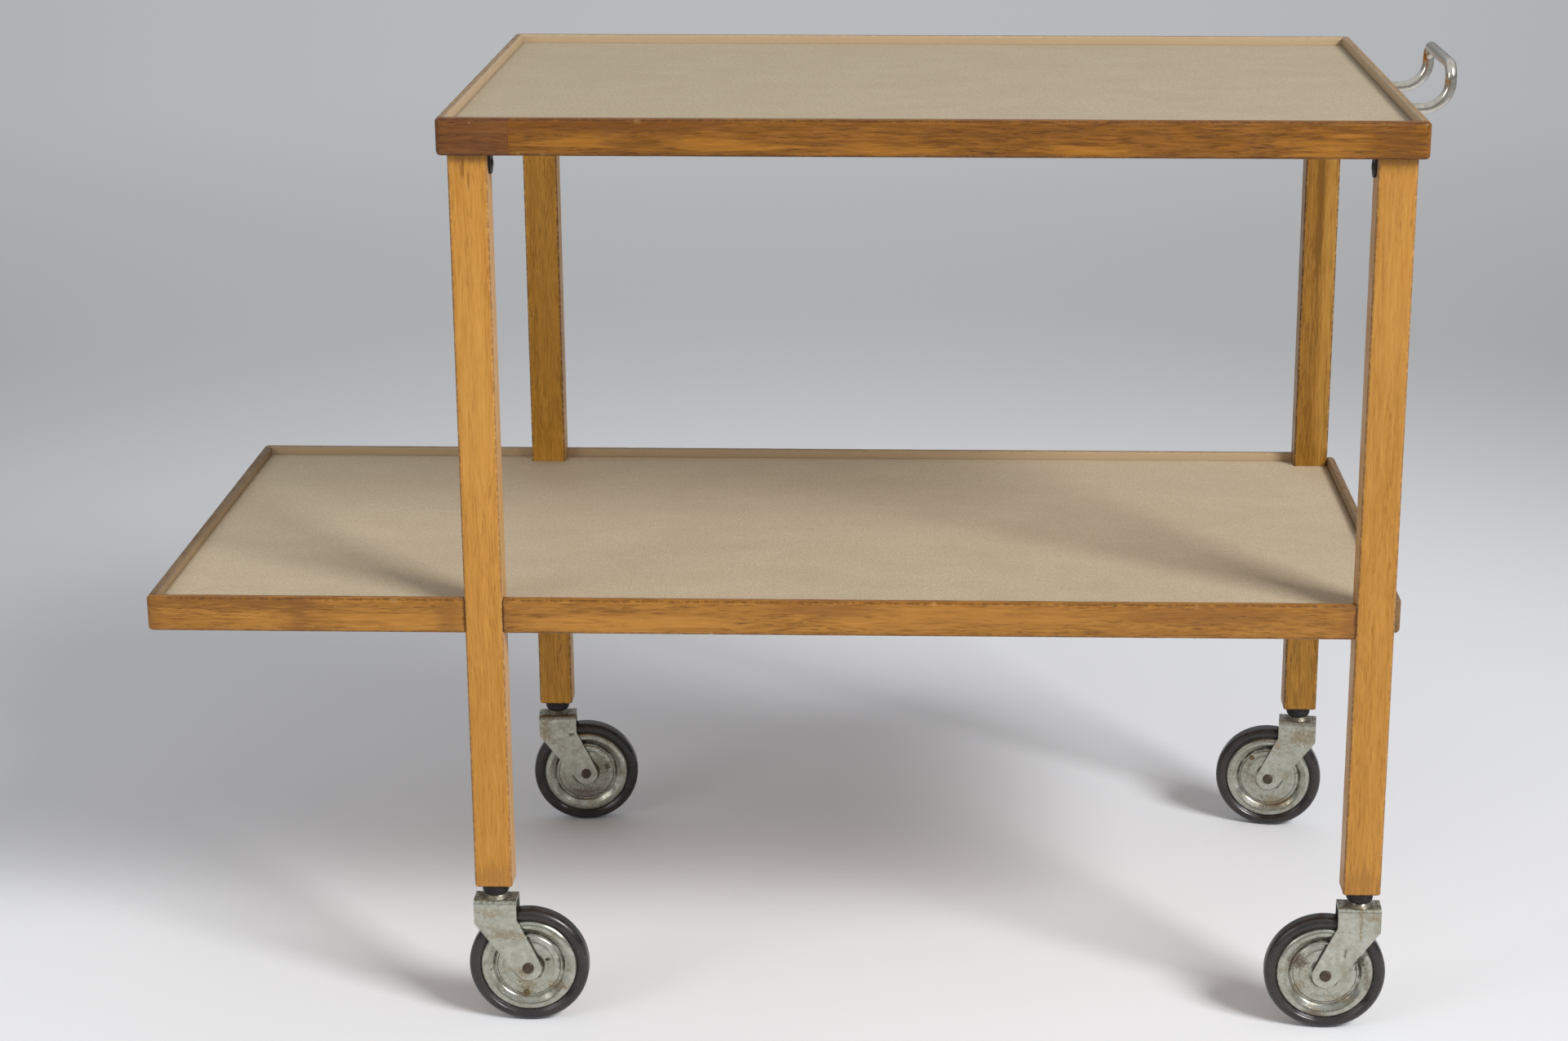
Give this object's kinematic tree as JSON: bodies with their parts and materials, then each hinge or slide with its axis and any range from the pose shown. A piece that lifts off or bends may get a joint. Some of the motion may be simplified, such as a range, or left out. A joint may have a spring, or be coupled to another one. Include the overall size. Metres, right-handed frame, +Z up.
{
  "type": "tea trolley",
  "caption": "Two-tier wooden tea trolley: linoleum tray on four legs, longer lower shelf, bent-rod push handle, swivel casters.",
  "frame": {"origin": "on the floor, under the middle of the whole trolley with its shelf extension and handle", "axes": "+X towards the handle end, +Y towards the back, +Z up"},
  "size_m": [0.9738, 0.411, 0.7261],
  "materials": {
    "core_board": "bare softwood core board, darkened with age, seen from below",
    "linoleum": "greige desk linoleum with a fine fleck, waxed to a soft sheen",
    "tray_rail_wood": "reddish brown oiled hardwood lipping with golden patches, worn arrises",
    "rail_wood_dark": "dark brown oiled hardwood, the pieced-in end",
    "shelf_rail_wood": "golden brown oiled hardwood lipping with nicks along the edges",
    "leg_wood": "honey coloured oak, vertical grain with dark pores, worn dark arrises",
    "dowel_wood": "plain beech dowel",
    "dark_steel": "blackened steel, dull",
    "screw_steel": "plain steel, dulled",
    "zinc_steel": "zinc plated pressed steel, mottled grey green with dark pits and rust stains",
    "rusty_steel": "rusted steel rivet head",
    "chrome": "chrome plated rod, slightly tarnished",
    "tyre_rubber": "dark charcoal brown hard rubber, satin"
  },
  "bodies": {
    "trolley": {"top_panel": "core_board", "top_linoleum": "linoleum", "top_rail_front_long": "tray_rail_wood", "top_rail_front_short": "rail_wood_dark", "top_rail_back": "tray_rail_wood", "top_rail_left": "tray_rail_wood", "top_rail_right": "tray_rail_wood", "shelf_panel": "core_board", "shelf_linoleum": "linoleum", "shelf_rail_front_left": "shelf_rail_wood", "shelf_rail_front_mid": "shelf_rail_wood", "shelf_rail_back_left": "shelf_rail_wood", "shelf_rail_back_mid": "shelf_rail_wood", "shelf_rail_left": "shelf_rail_wood", "shelf_rail_right": "shelf_rail_wood", "leg_front_left": "leg_wood", "leg_front_right": "leg_wood", "leg_back_left": "leg_wood", "leg_back_right": "leg_wood", "shelf_dowels": "dowel_wood", "leg_brackets": "dark_steel", "bracket_screws": "screw_steel", "handle": "chrome", "handle_screws": "screw_steel", "stem_sockets": "screw_steel", "swivel_cups": "dark_steel"},
    "swivel_front_left": {"stem_front_left": "screw_steel", "fork_front_left": "zinc_steel", "axle_front_left": "rusty_steel"},
    "wheel_front_left": {"hub_bush_front_left": "screw_steel", "disc_outer_front_left": "zinc_steel", "disc_inner_front_left": "zinc_steel", "disc_rivets_front_left": "rusty_steel", "tyre_front_left": "tyre_rubber"},
    "swivel_front_right": {"stem_front_right": "screw_steel", "fork_front_right": "zinc_steel", "axle_front_right": "rusty_steel"},
    "wheel_front_right": {"hub_bush_front_right": "screw_steel", "disc_outer_front_right": "zinc_steel", "disc_inner_front_right": "zinc_steel", "disc_rivets_front_right": "rusty_steel", "tyre_front_right": "tyre_rubber"},
    "swivel_back_left": {"stem_back_left": "screw_steel", "fork_back_left": "zinc_steel", "axle_back_left": "rusty_steel"},
    "wheel_back_left": {"hub_bush_back_left": "screw_steel", "disc_outer_back_left": "zinc_steel", "disc_inner_back_left": "zinc_steel", "disc_rivets_back_left": "rusty_steel", "tyre_back_left": "tyre_rubber"},
    "swivel_back_right": {"stem_back_right": "screw_steel", "fork_back_right": "zinc_steel", "axle_back_right": "rusty_steel"},
    "wheel_back_right": {"hub_bush_back_right": "screw_steel", "disc_outer_back_right": "zinc_steel", "disc_inner_back_right": "zinc_steel", "disc_rivets_back_right": "rusty_steel", "tyre_back_right": "tyre_rubber"}
  },
  "joints": [
    {"name": "swivel_turn_front_left", "type": "hinge", "parent": "trolley", "child": "swivel_front_left", "pos_m": [-0.23565, -0.1875, 0.102], "axis": [0, 0, 1], "continuous": true},
    {"name": "wheel_spin_front_left", "type": "hinge", "parent": "swivel_front_left", "child": "wheel_front_left", "pos_m": [-0.21165, -0.1875, 0.046], "axis": [0, 1, 0], "continuous": true},
    {"name": "swivel_turn_front_right", "type": "hinge", "parent": "trolley", "child": "swivel_front_right", "pos_m": [0.42185, -0.1875, 0.102], "axis": [0, 0, 1], "continuous": true},
    {"name": "wheel_spin_front_right", "type": "hinge", "parent": "swivel_front_right", "child": "wheel_front_right", "pos_m": [0.39786, -0.18666, 0.046], "axis": [0.0349, 0.9994, 0], "continuous": true},
    {"name": "swivel_turn_back_left", "type": "hinge", "parent": "trolley", "child": "swivel_back_left", "pos_m": [-0.23565, 0.1875, 0.102], "axis": [0, 0, 1], "continuous": true},
    {"name": "wheel_spin_back_left", "type": "hinge", "parent": "swivel_back_left", "child": "wheel_back_left", "pos_m": [-0.21172, 0.18938, 0.046], "axis": [-0.0785, 0.9969, 0], "continuous": true},
    {"name": "swivel_turn_back_right", "type": "hinge", "parent": "trolley", "child": "swivel_back_right", "pos_m": [0.42185, 0.1875, 0.102], "axis": [0, 0, 1], "continuous": true},
    {"name": "wheel_spin_back_right", "type": "hinge", "parent": "swivel_back_right", "child": "wheel_back_right", "pos_m": [0.39808, 0.19084, 0.046], "axis": [0.1392, 0.9903, 0], "continuous": true}
  ]
}
